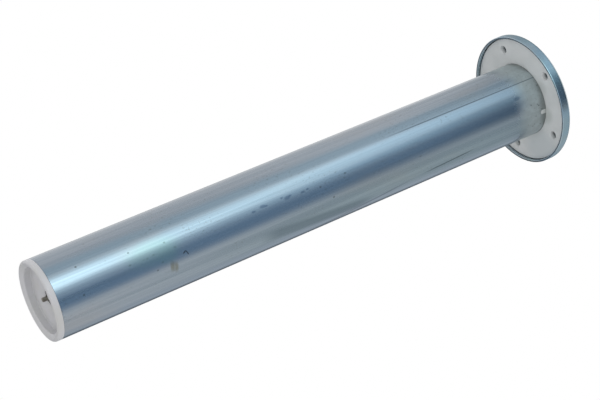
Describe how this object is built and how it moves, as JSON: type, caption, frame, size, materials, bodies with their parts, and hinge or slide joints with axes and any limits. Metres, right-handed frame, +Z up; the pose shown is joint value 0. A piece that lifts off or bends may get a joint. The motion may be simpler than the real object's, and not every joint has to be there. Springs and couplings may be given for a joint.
{
  "type": "fuel level sender",
  "caption": "Immersion-tube fuel level sender: a float slides on a rod inside an aluminium tube under a bolted round flange with screw terminals.",
  "frame": {"origin": "centre of the bolt circle on the flange's seal face", "axes": "+Z up along the tube's axis from the foot to the terminals, -Y through the first bolt hole"},
  "size_m": [0.096, 0.096, 0.4101],
  "materials": {
    "bare_aluminium": "drawn, bare, with fine lengthwise lines",
    "white_plastic": "moulded, satin",
    "zinc_plate": "zinc plated, bluish",
    "rod_steel": "drawn steel, dull at its foot",
    "spring_steel": "hardened, satin",
    "laminate": "brown paper laminate, satin",
    "resistance_alloy": "bright drawn",
    "brass": "turned, satin",
    "contact_bronze": "rolled strip, satin",
    "seal_rubber": "black, satin",
    "bush_plastic": "black moulded, satin",
    "float_foam": "black closed-cell foam, matte"
  },
  "bodies": {
    "sender_body": {"protective_tube": "bare_aluminium", "bottom_cap": "white_plastic", "flange_carrier": "white_plastic", "flange_cover": "zinc_plate", "guide_rod": "rod_steel", "rod_clip": "spring_steel", "anchor_plate": "laminate", "resistance_wire_left": "resistance_alloy", "resistance_wire_right": "resistance_alloy", "wire_ferrules": "brass", "wire_spring_left": "contact_bronze", "wire_spring_right": "contact_bronze", "warning_strip": "contact_bronze", "warning_lead": "brass", "warning_contact": "contact_bronze", "terminal_stud_signal": "brass", "terminal_stud_warning": "brass", "terminal_stud_ground": "brass", "terminal_seals": "seal_rubber", "insulating_bushes": "bush_plastic", "terminal_washers": "brass", "terminal_nuts": "brass", "lock_washers": "spring_steel", "rod_seal": "seal_rubber", "rod_washer": "zinc_plate", "rod_nut": "zinc_plate", "upper_stop": "seal_rubber"},
    "float": {"float_body": "float_foam", "float_bush": "brass", "contact_bridge": "contact_bronze"}
  },
  "joints": [
    {"name": "float_slide", "type": "slide", "parent": "sender_body", "child": "float", "axis": [0, 0, 1], "range_m": [0, 0.3197]}
  ]
}
